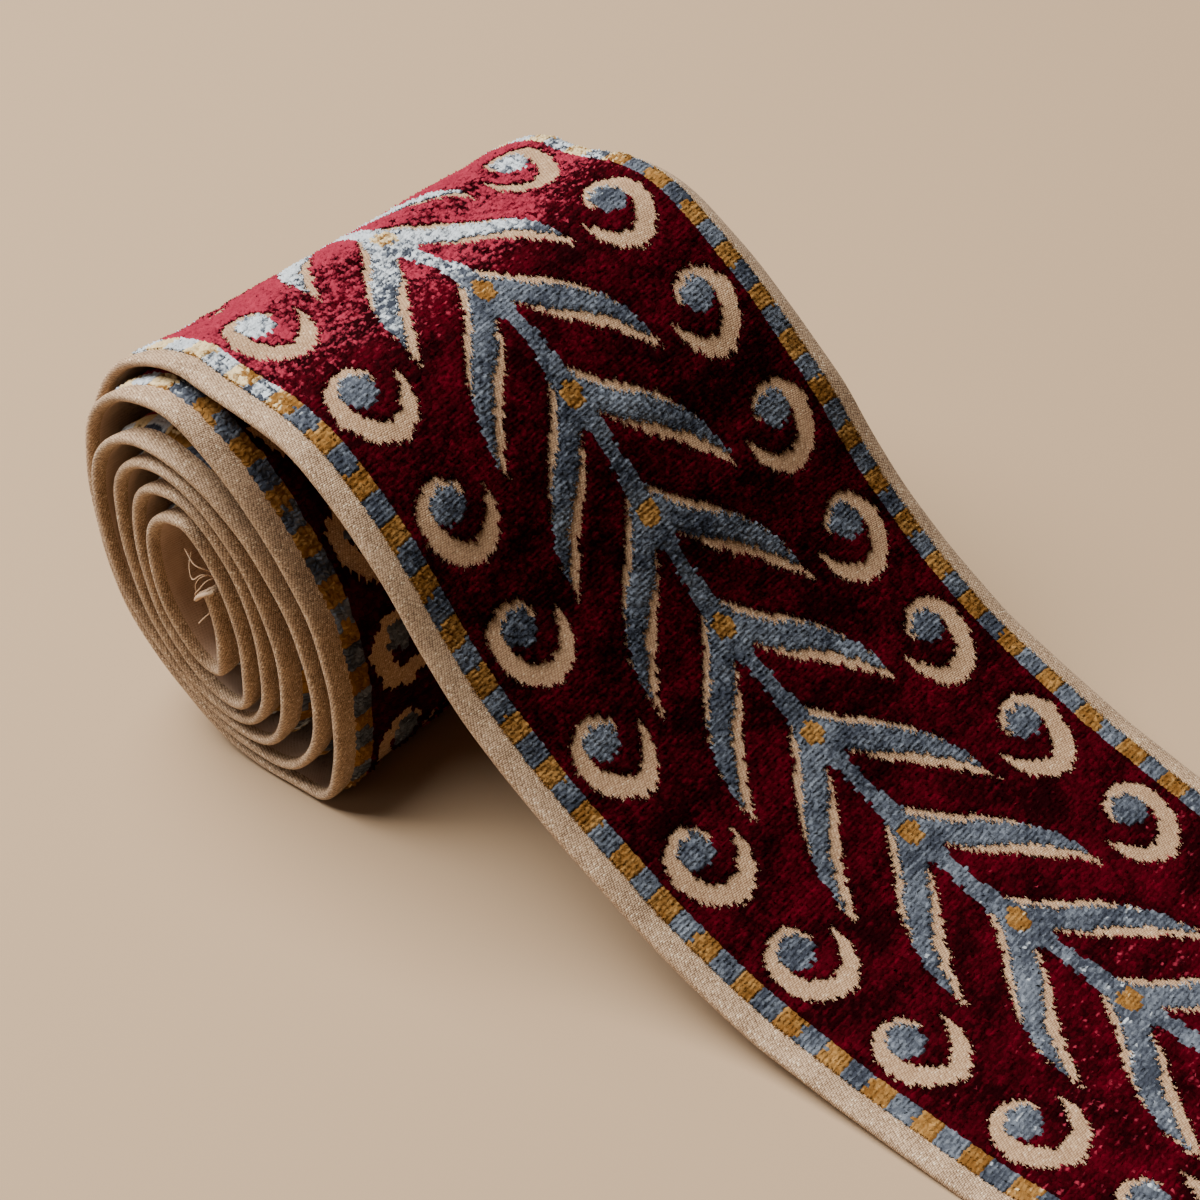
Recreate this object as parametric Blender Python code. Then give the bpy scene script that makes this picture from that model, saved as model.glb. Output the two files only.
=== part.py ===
"""Velvet tape trim, loosely wound, with its free length falling off the top of the roll and running out flat.

Metres, +Z up. The roll's axis lies along +Y, and the free length runs out along +X. The tape is one solid: a
spiral sheet whose section has a raised pile field between two thinner selvedges. The origin is the centre of the
footprint, on the surface that the roll and the free end rest on.
"""

import math

import bpy
import numpy as np

MM = 0.001

# Section of the tape, in millimetres.
TAPE_WIDTH = 76.0
SELVEDGE_WIDTH = 3.4
SELVEDGE_THICKNESS = 1.5
FIELD_THICKNESS = 2.0
EDGE_ROUNDING = 0.5
STEP_WIDTH = 0.4

# The middle of the sheet's thickness lies this high where the tape rests.
RESTING_HEIGHT = FIELD_THICKNESS / 2
RESTING_SPOT = 7.0

# The roll from the outermost turn inwards, as the middle of the sheet's thickness at the near selvedge: each turn
# has a row for its top, left, bottom and right. y is how far back the near selvedge lies, and fullness shapes the
# quarter turn that leads on to the next row: 0.55 is an ellipse, less is flatter and more is squarer.
ROLL_COLUMNS = ("x", "z", "y", "fullness", "steps")
ROLL = (
    (-1.5, 65.9, 1.4, 0.62, 9),
    (-22.8, 37.0, 2.2, 0.59, 9),
    (9.8, 1.0, 1.8, 0.55, 8),
    (20.6, 21.0, 0.5, 0.44, 8),
    (-3.0, 62.9, -3.0, 0.58, 8),
    (-19.8, 41.5, -1.4, 0.61, 8),
    (5.8, 3.7, 1.2, 0.55, 7),
    (17.6, 21.5, -0.2, 0.49, 7),
    (-3.4, 56.3, -3.8, 0.60, 7),
    (-16.9, 42.0, -3.3, 0.54, 7),
    (2.8, 6.8, 0.6, 0.55, 7),
    (12.8, 22.5, -1.0, 0.53, 7),
    (-2.6, 53.3, -4.0, 0.60, 6),
    (-13.4, 41.0, -2.8, 0.56, 6),
    (1.0, 9.4, 0.2, 0.55, 6),
    (9.8, 22.8, -1.5, 0.58, 6),
    (-1.2, 50.1, -4.0, 0.60, 6),
    (-10.3, 39.0, -2.8, 0.56, 6),
    (1.0, 12.5, -0.4, 0.57, 6),
    (6.9, 23.6, -2.0, 0.50, 6),
    (0.2, 46.3, -4.2, 0.60, 5),
    (-7.4, 38.0, -3.4, 0.55, 5),
    (-0.6, 17.7, -1.0, 0.60, 5),
    (3.1, 26.5, -2.4, 0.40, 4),
    (2.4, 35.0, -3.2, 0.0, 0),
)

# The top of the roll slopes down to the far end by this angle, and its far selvedge sags further by this much.
ROLL_TOP_SLOPE = -2.8
ROLL_TOP_SAG = 3.6

# The free length from the top of the outermost turn to its cut end, a row for each pattern repeat: the middle of
# the tape's width and thickness, the turn (yaw) and slope (tilt) of the line across its width in degrees, and how
# far its far selvedge sags below that line.
TAIL_COLUMNS = ("x", "y", "z", "yaw", "tilt", "sag")
TAIL = (
    (16.4, 38.6, 64.0, -0.2, 2.0, 2.8),
    (31.2, 38.0, 54.7, 1.0, 4.8, 1.8),
    (43.2, 38.0, 41.5, 3.4, 6.8, 1.0),
    (55.2, 38.7, 28.2, 2.2, 5.7, 0.9),
    (69.6, 39.2, 17.0, 0.9, 4.8, 0.9),
    (85.5, 39.5, 8.4, 0.9, 4.4, 0.9),
    (102.9, 39.1, 3.5, 0.7, 2.2, 0.5),
    (120.7, 38.1, 1.3, -0.5, 0.3, 0.0),
    (138.6, 37.6, 1.0, -1.0, 0.0, 0.0),
    (156.5, 37.2, 1.0, -1.2, 0.0, 0.0),
    (165.5, 37.0, 1.0, -1.2, 0.0, 0.0),
)
TAIL_STEPS = 4
SAG_STARTS = 20.0

PILE_COLOUR = (0.16, 0.004, 0.016, 1.0)
PILE_ROUGHNESS = 0.9
SHARP_ANGLE = 40.0


def table(names, rows):
    """Each named column of a table, as an array."""
    return dict(zip(names, np.array(rows, float).T))


def quarter(start, end, fullness, steps, along_x):
    """A quarter turn as a Bezier curve without its last point, leaving start along X if along_x and else along Z."""
    reach = fullness * (end - start)
    out, back = (reach * [1, 0], reach * [0, 1]) if along_x else (reach * [0, 1], reach * [1, 0])
    t = np.linspace(0.0, 1.0, steps, endpoint=False)[:, None]
    handles = 3 * t * (1 - t) ** 2 * (start + out) + 3 * t**2 * (1 - t) * (end - back)
    return (1 - t) ** 3 * start + handles + t**3 * end


def smooth(values, steps):
    """A Catmull-Rom curve through a column of values, with as many steps to each gap."""
    padded = np.concatenate([[2 * values[0] - values[1]], values, [2 * values[-1] - values[-2]]])
    before, here, there, after = (padded[i : i + len(values) - 1, None] for i in range(4))
    t = np.linspace(0.0, 1.0, steps, endpoint=False)
    bend = 2 * before - 5 * here + 4 * there - after + t * (3 * (here - there) + after - before)
    return np.append((here + 0.5 * t * (there - before + t * bend)).ravel(), values[-1])


def roll_line():
    """The wound turns from the inner end out to the outermost top, with the columns of the free length."""
    rows = table(ROLL_COLUMNS, ROLL)
    spots = np.stack([rows["x"], rows["z"]], axis=1)
    steps = rows["steps"].astype(int)
    lowest = int(spots[:, 1].argmin())
    pieces, turned = [], []
    for i, (start, end) in enumerate(zip(spots, spots[1:])):
        if i + 1 == lowest:
            end = end - [RESTING_SPOT / 2, 0]
        if i == lowest:
            pieces.append([start - [RESTING_SPOT / 2, 0]])
            turned.append([i])
            start = start + [RESTING_SPOT / 2, 0]
        pieces.append(quarter(start, end, rows["fullness"][i], steps[i], i % 2 == 0))
        turned.append(i + np.arange(steps[i]) / steps[i])
    x, near_z = np.vstack([*pieces, spots[-1:]]).T
    turned = np.append(np.concatenate(turned), len(spots) - 1)
    eased = np.floor(turned) + (1 - np.cos(np.pi * (turned % 1))) / 2
    near_y = np.interp(eased, np.arange(len(spots)), rows["y"])
    height = (near_z - RESTING_HEIGHT) / (near_z[0] - RESTING_HEIGHT)
    tilt = ROLL_TOP_SLOPE * height
    rise = TAPE_WIDTH / 2 * np.sin(np.radians(tilt))
    sag = ROLL_TOP_SAG * height**2
    columns = (x, near_y + TAPE_WIDTH / 2, near_z + rise, np.zeros(len(x)), tilt, sag)
    return {name: column[::-1] for name, column in zip(TAIL_COLUMNS, columns)}


def whole_line():
    """Every section from the inner end to the cut end, with the columns of the free length."""
    roll = roll_line()
    tail = table(TAIL_COLUMNS, TAIL)
    line = {}
    for name in TAIL_COLUMNS:
        free = smooth(np.append(roll[name][-1], tail[name]), TAIL_STEPS)
        line[name] = np.append(roll[name][:-1], free)
    line["z"] = np.maximum(line["z"], RESTING_HEIGHT)
    line["sag"] = np.maximum(line["sag"], 0)
    return line


def frames(line):
    """Middle point, direction across the width, outward normal and sag of each section."""
    middle = np.stack([line["x"], line["y"], line["z"]], axis=1)
    yaw, tilt = np.radians([line["yaw"], line["tilt"]])
    across = np.stack([np.sin(yaw) * np.cos(tilt), np.cos(yaw) * np.cos(tilt), np.sin(tilt)], axis=1)
    steps = np.diff(middle, axis=0)
    steps /= np.linalg.norm(steps, axis=1)[:, None]
    along = np.vstack([steps[:1], steps[1:] + steps[:-1], steps[-1:]])
    normal = np.cross(along, across)
    normal /= np.linalg.norm(normal, axis=1)[:, None]
    resting = np.isclose(line["z"], RESTING_HEIGHT)
    normal[resting] = np.sign(normal[resting, 2:]) * [0.0, 0.0, 1.0]
    return middle, across, normal, line["sag"]


def spread(middle, across, normal, sag, width, height):
    """Points of the tape: width from its middle line (rising to the far side) and height over its mid-plane."""
    past = np.maximum(width - SAG_STARTS, 0) / (TAPE_WIDTH / 2 - SAG_STARTS)
    points = middle[:, None] + width[None, :, None] * across[:, None] + height[None, :, None] * normal[:, None]
    points[..., 2] -= sag[:, None] * past[None] ** 2
    return points


def tape_section():
    """The closed outline of the tape across its width: distance from the middle, height over the mid-plane."""
    edge = TAPE_WIDTH / 2
    back = -FIELD_THICKNESS / 2
    pile = FIELD_THICKNESS / 2
    lip = back + SELVEDGE_THICKNESS
    field = edge - SELVEDGE_WIDTH
    half = (
        (field - STEP_WIDTH, pile),
        (field, lip),
        (edge - EDGE_ROUNDING, lip),
        (edge, lip - EDGE_ROUNDING),
        (edge, back + EDGE_ROUNDING),
        (edge - EDGE_ROUNDING, back),
        (SAG_STARTS, back),
    )
    far = [(SAG_STARTS, pile), *half]
    near = [(-w, h) for w, h in reversed(far)]
    return np.array([*far, *near])


def add_tape(collection):
    """Lofts the section along the line, closes both ends and stands the result on its footprint's centre."""
    line = whole_line()
    width, height = tape_section().T
    count, ring = len(line["x"]), len(width)
    points = spread(*frames(line), width, height).reshape(-1, 3)
    low, high = points.min(axis=0), points.max(axis=0)
    points -= [(low[0] + high[0]) / 2, (low[1] + high[1]) / 2, low[2]]

    faces = []
    for i in range(count - 1):
        for j in range(ring):
            k = (j + 1) % ring
            faces.append((i * ring + j, (i + 1) * ring + j, (i + 1) * ring + k, i * ring + k))
    faces.append(tuple(range(ring)))
    faces.append(tuple(reversed(range((count - 1) * ring, count * ring))))

    mesh = bpy.data.meshes.new("velvet_tape")
    mesh.from_pydata((points * MM).tolist(), [], faces)
    mesh.validate()
    mesh.shade_smooth()
    mesh.set_sharp_from_angle(angle=math.radians(SHARP_ANGLE))
    tape = bpy.data.objects.new("velvet_tape", mesh)
    tape.data.materials.append(pile_material())
    collection.objects.link(tape)
    return tape


def pile_material():
    """Dark crimson velvet, plain."""
    material = bpy.data.materials.new("crimson_pile")
    material.use_nodes = True
    shader = material.node_tree.nodes["Principled BSDF"]
    shader.inputs["Base Color"].default_value = PILE_COLOUR
    shader.inputs["Roughness"].default_value = PILE_ROUGHNESS
    return material


def main():
    """Clears the scene and makes the tape in a collection of its own."""
    for item in list(bpy.data.objects):
        bpy.data.objects.remove(item, do_unlink=True)
    collection = bpy.data.collections.new("velvet_tape_trim")
    bpy.context.scene.collection.children.link(collection)
    add_tape(collection)


if __name__ == "__main__":
    main()
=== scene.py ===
"""Velvet tape trim: the woven ground, the pile, the loose threads and the studio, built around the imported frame.

The file is laid out as a Blender add-on and run as a script. Lengths in its tables are millimetres, spots on the
tape are counted in warp threads from its middle and in pattern repeats along it, and meshes are in metres.
"""

import math

import bpy
import numpy as np
from bpy.props import FloatProperty, FloatVectorProperty, IntProperty, PointerProperty
from mathutils import Matrix, Vector


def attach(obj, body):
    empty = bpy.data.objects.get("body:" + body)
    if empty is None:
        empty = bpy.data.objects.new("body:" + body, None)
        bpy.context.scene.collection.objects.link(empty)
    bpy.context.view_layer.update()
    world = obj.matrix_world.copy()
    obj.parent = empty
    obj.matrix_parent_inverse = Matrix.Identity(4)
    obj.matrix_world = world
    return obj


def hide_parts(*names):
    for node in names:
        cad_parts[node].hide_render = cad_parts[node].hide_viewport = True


bl_info = {
    "name": "Velvet Tape Trim",
    "version": (1, 0, 0),
    "blender": (4, 5, 0),
    "location": "View3D > Sidebar > Trim",
    "description": "A loosely wound roll of patterned velvet tape with its free length running out",
    "category": "Add Mesh",
}

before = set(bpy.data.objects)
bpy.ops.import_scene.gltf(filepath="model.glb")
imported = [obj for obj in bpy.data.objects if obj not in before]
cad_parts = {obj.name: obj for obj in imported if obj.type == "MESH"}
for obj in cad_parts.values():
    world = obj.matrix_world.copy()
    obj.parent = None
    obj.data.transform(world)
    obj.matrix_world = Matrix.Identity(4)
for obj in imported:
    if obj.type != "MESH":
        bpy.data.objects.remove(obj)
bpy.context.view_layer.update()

MM = 0.001
NODE = "velvet_tape"
BODY = "root"

# The tape, as in the part.
TAPE_WIDTH = 76.0
FIELD_THICKNESS = 2.0
RESTING_HEIGHT = FIELD_THICKNESS / 2
RESTING_SPOT = 7.0
BACK = -FIELD_THICKNESS / 2
PILE_TOP = FIELD_THICKNESS / 2
LIP = BACK + 1.5

# The part's origin is the centre of its footprint, here in the coordinates of the tables below.
FOOTPRINT_CENTRE = np.array([71.25, 37.0, 0.0])

# The roll from the outermost turn inwards, with a row for each turn's top, left, bottom and right: where the middle
# of the sheet's thickness passes at the near selvedge, how far back that selvedge lies, and the shape of the
# quarter turn to the next row.
ROLL_COLUMNS = ("x", "z", "y", "fullness", "steps")
ROLL = (
    (-1.5, 65.9, 1.4, 0.62, 9),
    (-22.8, 37.0, 2.2, 0.59, 9),
    (9.8, 1.0, 1.8, 0.55, 8),
    (20.6, 21.0, 0.5, 0.44, 8),
    (-3.0, 62.9, -3.0, 0.58, 8),
    (-19.8, 41.5, -1.4, 0.61, 8),
    (5.8, 3.7, 1.2, 0.55, 7),
    (17.6, 21.5, -0.2, 0.49, 7),
    (-3.4, 56.3, -3.8, 0.60, 7),
    (-16.9, 42.0, -3.3, 0.54, 7),
    (2.8, 6.8, 0.6, 0.55, 7),
    (12.8, 22.5, -1.0, 0.53, 7),
    (-2.6, 53.3, -4.0, 0.60, 6),
    (-13.4, 41.0, -2.8, 0.56, 6),
    (1.0, 9.4, 0.2, 0.55, 6),
    (9.8, 22.8, -1.5, 0.58, 6),
    (-1.2, 50.1, -4.0, 0.60, 6),
    (-10.3, 39.0, -2.8, 0.56, 6),
    (1.0, 12.5, -0.4, 0.57, 6),
    (6.9, 23.6, -2.0, 0.50, 6),
    (0.2, 46.3, -4.2, 0.60, 5),
    (-7.4, 38.0, -3.4, 0.55, 5),
    (-0.6, 17.7, -1.0, 0.60, 5),
    (3.1, 26.5, -2.4, 0.40, 4),
    (2.4, 35.0, -3.2, 0.0, 0),
)
ROLL_TOP_SLOPE = -1.8
ROLL_TOP_SAG = 0.8

# Behind the top each turn is rounder than at its near selvedge, and more so towards the far side: it lies deeper by
# this much at each distance from the middle.
HOLLOW_COLUMNS = ("across", "depth")
HOLLOW = ((-38.0, 0.0), (-32.0, 0.8), (-24.0, 1.5), (0.0, 2.1), (25.0, 3.6), (38.0, 3.4))

# The free length, a row for each pattern repeat from the top of the roll and one for the cut end.
TAIL_COLUMNS = ("x", "y", "z", "yaw", "tilt", "sag")
TAIL = (
    (16.4, 38.6, 64.9, -0.2, 2.4, 0.4),
    (31.2, 38.0, 55.4, 1.0, 5.1, 0.4),
    (43.2, 38.0, 41.8, 3.4, 6.9, 0.4),
    (55.2, 38.7, 28.2, 2.2, 5.7, 0.9),
    (69.6, 39.2, 17.0, 0.9, 4.8, 0.9),
    (85.5, 39.5, 8.4, 0.9, 4.4, 0.9),
    (102.9, 39.1, 3.5, 0.7, 2.2, 0.5),
    (120.7, 38.1, 1.3, -0.5, 0.3, 0.0),
    (138.6, 37.6, 1.0, -1.0, 0.0, 0.0),
    (156.5, 37.2, 1.0, -1.2, 0.0, 0.0),
    (165.5, 37.0, 1.0, -1.2, 0.0, 0.0),
)
CUT_END = 10.5
TAIL_STEPS = 4
SAG_STARTS = 20.0
FINER = 8

# Past the pile field the far side curls down further than it sags: by this much at its edge on the roll's top, and
# then at each repeat of the free length.
CURL_STARTS = 33.2
ROLL_TOP_CURL = 3.2
TAIL_CURL = (3.2, 2.6, 2.0, 1.7, 1.5, 1.3, 0.9, 0.2, 0.0, 0.0, 0.0)

# The weave. The pattern is drawn in warp threads, and the pile stands in tufts, so many across and in so many rows
# to a repeat.
THREADS = 146
THREAD = TAPE_WIDTH / THREADS
REPEAT = 17.95
REPEAT_IN_THREADS = REPEAT / THREAD
TUFTS = 132
TUFT_WIDTH = 133 * THREAD / TUFTS
ROWS = 28
TUFT_LENGTH = REPEAT / ROWS
PILE_EDGE = TUFTS / 2 * TUFT_WIDTH
COARSE_TUFTS, COARSE_ROWS = 88, 14
FIELD_EDGE = 60.5
NAP_LEAN = 0.36
JOIN_OVERLAP = 0.2

GROUND, CRIMSON, SLATE, GOLD = range(4)

# A leaf of the spray: where its outline and its body begin and end along the tape, at distances from the stem.
LEAF_COLUMNS = ("from_stem", "line_starts", "body_starts", "body_ends", "line_ends")
LEAF = (
    (3.0, -0.23, -0.155, 0.17, 0.19),
    (6.0, -0.125, -0.02, 0.265, 0.32),
    (10.0, 0.03, 0.125, 0.395, 0.48),
    (16.0, 0.19, 0.28, 0.525, 0.655),
    (21.0, 0.365, 0.425, 0.67, 0.815),
    (25.0, 0.55, 0.57, 0.825, 0.965),
    (28.0, 0.73, 0.74, 0.955, 1.085),
    (29.6, 0.98, 1.04, 1.04, 1.18),
)
# The stem's half width along a repeat.
STEM_COLUMNS = ("along", "half_width")
STEM = ((0.0, 3.6), (0.20, 3.6), (0.28, 2.3), (0.55, 2.4), (0.80, 3.4), (1.0, 3.6))
KNOT_ALONG, KNOT_HALF_LENGTH, KNOT_HALF_WIDTH = -0.03, 0.095, 3.0
DOT_FROM_STEM, DOT_HALF_WIDTH, DOT_HALF_LENGTH = 47.5, 4.8, 0.130
# A scroll from its inner end round the dot to its tip.
SCROLL_COLUMNS = ("from_stem", "along", "width")
SCROLL = (
    (42.2, -0.02, 2.0),
    (43.8, -0.11, 2.9),
    (48.0, -0.165, 3.6),
    (53.0, -0.10, 4.8),
    (55.2, 0.05, 5.6),
    (53.8, 0.21, 5.8),
    (50.4, 0.335, 6.0),
    (45.6, 0.395, 6.2),
    (40.8, 0.34, 5.2),
    (37.6, 0.22, 3.8),
    (35.6, 0.06, 1.2),
)
SCROLL_STEPS = 8
BLOCK_PERIOD, SLATE_BLOCK, SLATE_BLOCK_STARTS = 0.4, 0.205, 0.01


def table(names, rows):
    """Each named column of a table, as an array."""
    return dict(zip(names, np.array(rows, float).T))


def quarter(start, end, fullness, steps, along_x):
    """A quarter turn as a Bezier curve without its last point, leaving start along X if along_x and else along Z."""
    reach = fullness * (end - start)
    out, back = (reach * [1, 0], reach * [0, 1]) if along_x else (reach * [0, 1], reach * [1, 0])
    t = np.linspace(0.0, 1.0, steps, endpoint=False)[:, None]
    handles = 3 * t * (1 - t) ** 2 * (start + out) + 3 * t**2 * (1 - t) * (end - back)
    return (1 - t) ** 3 * start + handles + t**3 * end


def smooth(values, steps):
    """A Catmull-Rom curve through a column of values, with as many steps to each gap."""
    padded = np.concatenate([[2 * values[0] - values[1]], values, [2 * values[-1] - values[-2]]])
    before, here, there, after = (padded[i : i + len(values) - 1, None] for i in range(4))
    t = np.linspace(0.0, 1.0, steps, endpoint=False)
    bend = 2 * before - 5 * here + 4 * there - after + t * (3 * (here - there) + after - before)
    return np.append((here + 0.5 * t * (there - before + t * bend)).ravel(), values[-1])


def roll_line():
    """The wound turns from the inner end out to the outermost top, with the columns of the free length."""
    rows = table(ROLL_COLUMNS, ROLL)
    spots = np.stack([rows["x"], rows["z"]], axis=1)
    steps = rows["steps"].astype(int) * FINER
    lowest = int(spots[:, 1].argmin())
    pieces, turned = [], []
    for i, (start, end) in enumerate(zip(spots, spots[1:])):
        if i + 1 == lowest:
            end = end - [RESTING_SPOT / 2, 0]
        if i == lowest:
            pieces.append([start - [RESTING_SPOT / 2, 0]])
            turned.append([i])
            start = start + [RESTING_SPOT / 2, 0]
        pieces.append(quarter(start, end, rows["fullness"][i], steps[i], i % 2 == 0))
        turned.append(i + np.arange(steps[i]) / steps[i])
    x, near_z = np.vstack([*pieces, spots[-1:]]).T
    turned = np.append(np.concatenate(turned), len(spots) - 1)
    eased = np.floor(turned) + (1 - np.cos(np.pi * (turned % 1))) / 2
    near_y = np.interp(eased, np.arange(len(spots)), rows["y"])
    height = (near_z - RESTING_HEIGHT) / (near_z[0] - RESTING_HEIGHT)
    tilt = ROLL_TOP_SLOPE * height
    rise = TAPE_WIDTH / 2 * np.sin(np.radians(tilt))
    sag = ROLL_TOP_SAG * height**2
    columns = (x, near_y + TAPE_WIDTH / 2, near_z + rise, np.zeros(len(x)), tilt, sag)
    return {name: column[::-1] for name, column in zip(TAIL_COLUMNS, columns)}


def ripple(along, across):
    """Slow unevenness of the cloth in millimetres: crossed sine waves, 11 to 43 mm long."""
    waves = ((43.0, 60.0, 0.3, 0.10), (27.0, -35.0, 1.9, 0.08), (17.0, 90.0, 4.1, 0.06), (11.0, -22.0, 5.2, 0.04))
    turns = (2 * math.pi * (along / long + across / wide) + start for long, wide, start, _ in waves)
    return sum(wave[3] * np.sin(turn) for wave, turn in zip(waves, turns))


class Lie:
    """How the tape lies: where any spot of it is, given its distances along and across."""

    def __init__(self):
        roll = roll_line()
        tail = table(TAIL_COLUMNS, TAIL)
        line = {}
        for name in TAIL_COLUMNS:
            free = smooth(np.append(roll[name][-1], tail[name]), TAIL_STEPS * FINER)
            line[name] = np.append(roll[name][:-1], free)
        z = np.maximum(line["z"], RESTING_HEIGHT)
        self.middle = np.stack([line["x"], line["y"], z], axis=1)
        yaw, tilt = np.radians([line["yaw"], line["tilt"]])
        self.across = np.stack([np.sin(yaw) * np.cos(tilt), np.cos(yaw) * np.cos(tilt), np.sin(tilt)], axis=1)
        self.normal = np.cross(np.gradient(self.middle, axis=0), self.across)
        self.normal /= np.linalg.norm(self.normal, axis=1)[:, None]
        self.sag = np.maximum(line["sag"], 0)
        top = len(roll["x"]) - 1
        height = (z[: top + 1] - RESTING_HEIGHT) / (z[top] - RESTING_HEIGHT)
        free_curl = smooth(np.append(ROLL_TOP_CURL, TAIL_CURL), TAIL_STEPS * FINER)
        self.curl = np.maximum(np.append(ROLL_TOP_CURL * height[:-1] ** 2, free_curl), 0)
        gone = np.cumsum(np.linalg.norm(np.diff(self.middle, axis=0, prepend=self.middle[:1]), axis=1))
        steps = np.arange(len(gone) - top) / (TAIL_STEPS * FINER)
        last = len(TAIL) - 1
        repeats = np.where(steps > last, last + (steps - last) * (CUT_END - last), steps)
        self.along = np.append(gone[:top] - gone[top], repeats * REPEAT)
        self.length = gone[-1]

    def axes(self, along):
        """The normal, the way across and the way onward at distances along the tape."""
        normal, across = (
            np.stack([np.interp(along, self.along, column) for column in axis.T], axis=-1)
            for axis in (self.normal, self.across)
        )
        normal /= np.linalg.norm(normal, axis=-1)[..., None]
        return normal, across, np.cross(across, normal)

    def place(self, along, across, height):
        """Points in metres for distances along from the roll's top, across from the middle and over the mid-plane.

        A point is the middle line's, plus its distance across, plus its height and the ripple along the normal. The
        far side then sinks by the sag's square law and the curl's, and nothing sinks into the table. The hollow
        behind the top is deepest where the normal points half up and half back.
        """
        along, across, height = np.broadcast_arrays(along, across, height)

        def at(columns):
            return np.stack([np.interp(along, self.along, column) for column in columns.T], axis=-1)

        normal = at(self.normal)
        normal /= np.linalg.norm(normal, axis=-1)[..., None]
        hollow = table(HOLLOW_COLUMNS, HOLLOW)
        depth = np.interp(across, hollow["across"], hollow["depth"])
        turned_back = np.maximum(-2 * normal[..., 0] * normal[..., 2], 0) * (normal[..., 2] > 0)
        raised = height + ripple(along, across) - depth * turned_back
        points = at(self.middle) + across[..., None] * at(self.across) + raised[..., None] * normal
        for starts, drop, power in ((SAG_STARTS, self.sag, 2.0), (CURL_STARTS, self.curl, 1.5)):
            past = np.maximum(across - starts, 0) / (TAPE_WIDTH / 2 - starts)
            points[..., 2] -= np.interp(along, self.along, drop) * past**power
        points[..., 2] = np.maximum(points[..., 2], 0)
        return (points - FOOTPRINT_CENTRE) * MM


def scroll_path():
    """The scroll's middle line in threads and its half width, as a smooth curve through the rows of SCROLL."""
    spots = table(SCROLL_COLUMNS, SCROLL)
    from_stem, along, width = (smooth(spots[name], SCROLL_STEPS) for name in SCROLL_COLUMNS)
    return from_stem, along * REPEAT_IN_THREADS, width / 2


def chart(threads, repeats):
    """The yarn that shows at spots of the tape.

    Both sides of the stem are alike. A spray's leaf lies between the curves of LEAF, the stem within the half
    width of STEM, the knot and the dots are squarish ovals, the scroll is within its half width of a curve, and the
    border alternates in blocks. Elsewhere the field is crimson.
    """
    away = np.abs(threads)
    yarn = np.full(away.shape, CRIMSON)

    leaf = table(LEAF_COLUMNS, LEAF)
    starts, body_starts, body_ends, ends = (
        np.interp(away, leaf["from_stem"], leaf[name]) for name in LEAF_COLUMNS[1:]
    )
    beside_stem = (away > leaf["from_stem"][0]) & (away < leaf["from_stem"][-1])
    lead = -starts.min()
    for earlier in (0, 1):
        along = (repeats + lead) % 1 - lead + earlier
        yarn[beside_stem & (along > starts) & (along < ends)] = GROUND
        yarn[beside_stem & (along > body_starts) & (along < body_ends)] = SLATE

    stem = table(STEM_COLUMNS, STEM)
    yarn[away < np.interp(repeats % 1, stem["along"], stem["half_width"])] = SLATE

    def oval(across, along, half_width, half_length):
        from_centre = (repeats - along + 0.5) % 1 - 0.5
        return np.abs((away - across) / half_width) ** 2.3 + np.abs(from_centre / half_length) ** 2.3 < 1

    yarn[oval(0, KNOT_ALONG, KNOT_HALF_WIDTH, KNOT_HALF_LENGTH)] = GOLD

    across, along, half_width = scroll_path()
    spot = ((repeats + 0.4) % 1 - 0.4) * REPEAT_IN_THREADS
    near = (away > across.min() - half_width.max()) & (away < across.max() + half_width.max())
    gaps = np.hypot(away[near, None] - across, spot[near, None] - along) - half_width
    inside = np.zeros(away.shape, bool)
    inside[near] = gaps.min(axis=1) < 0
    yarn[inside] = GROUND
    yarn[oval(DOT_FROM_STEM, 0, DOT_HALF_WIDTH, DOT_HALF_LENGTH)] = SLATE

    slate_block = (repeats - SLATE_BLOCK_STARTS) % BLOCK_PERIOD < SLATE_BLOCK
    border = away > FIELD_EDGE
    yarn[border] = np.where(slate_block, SLATE, GOLD)[border]
    return yarn


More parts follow.
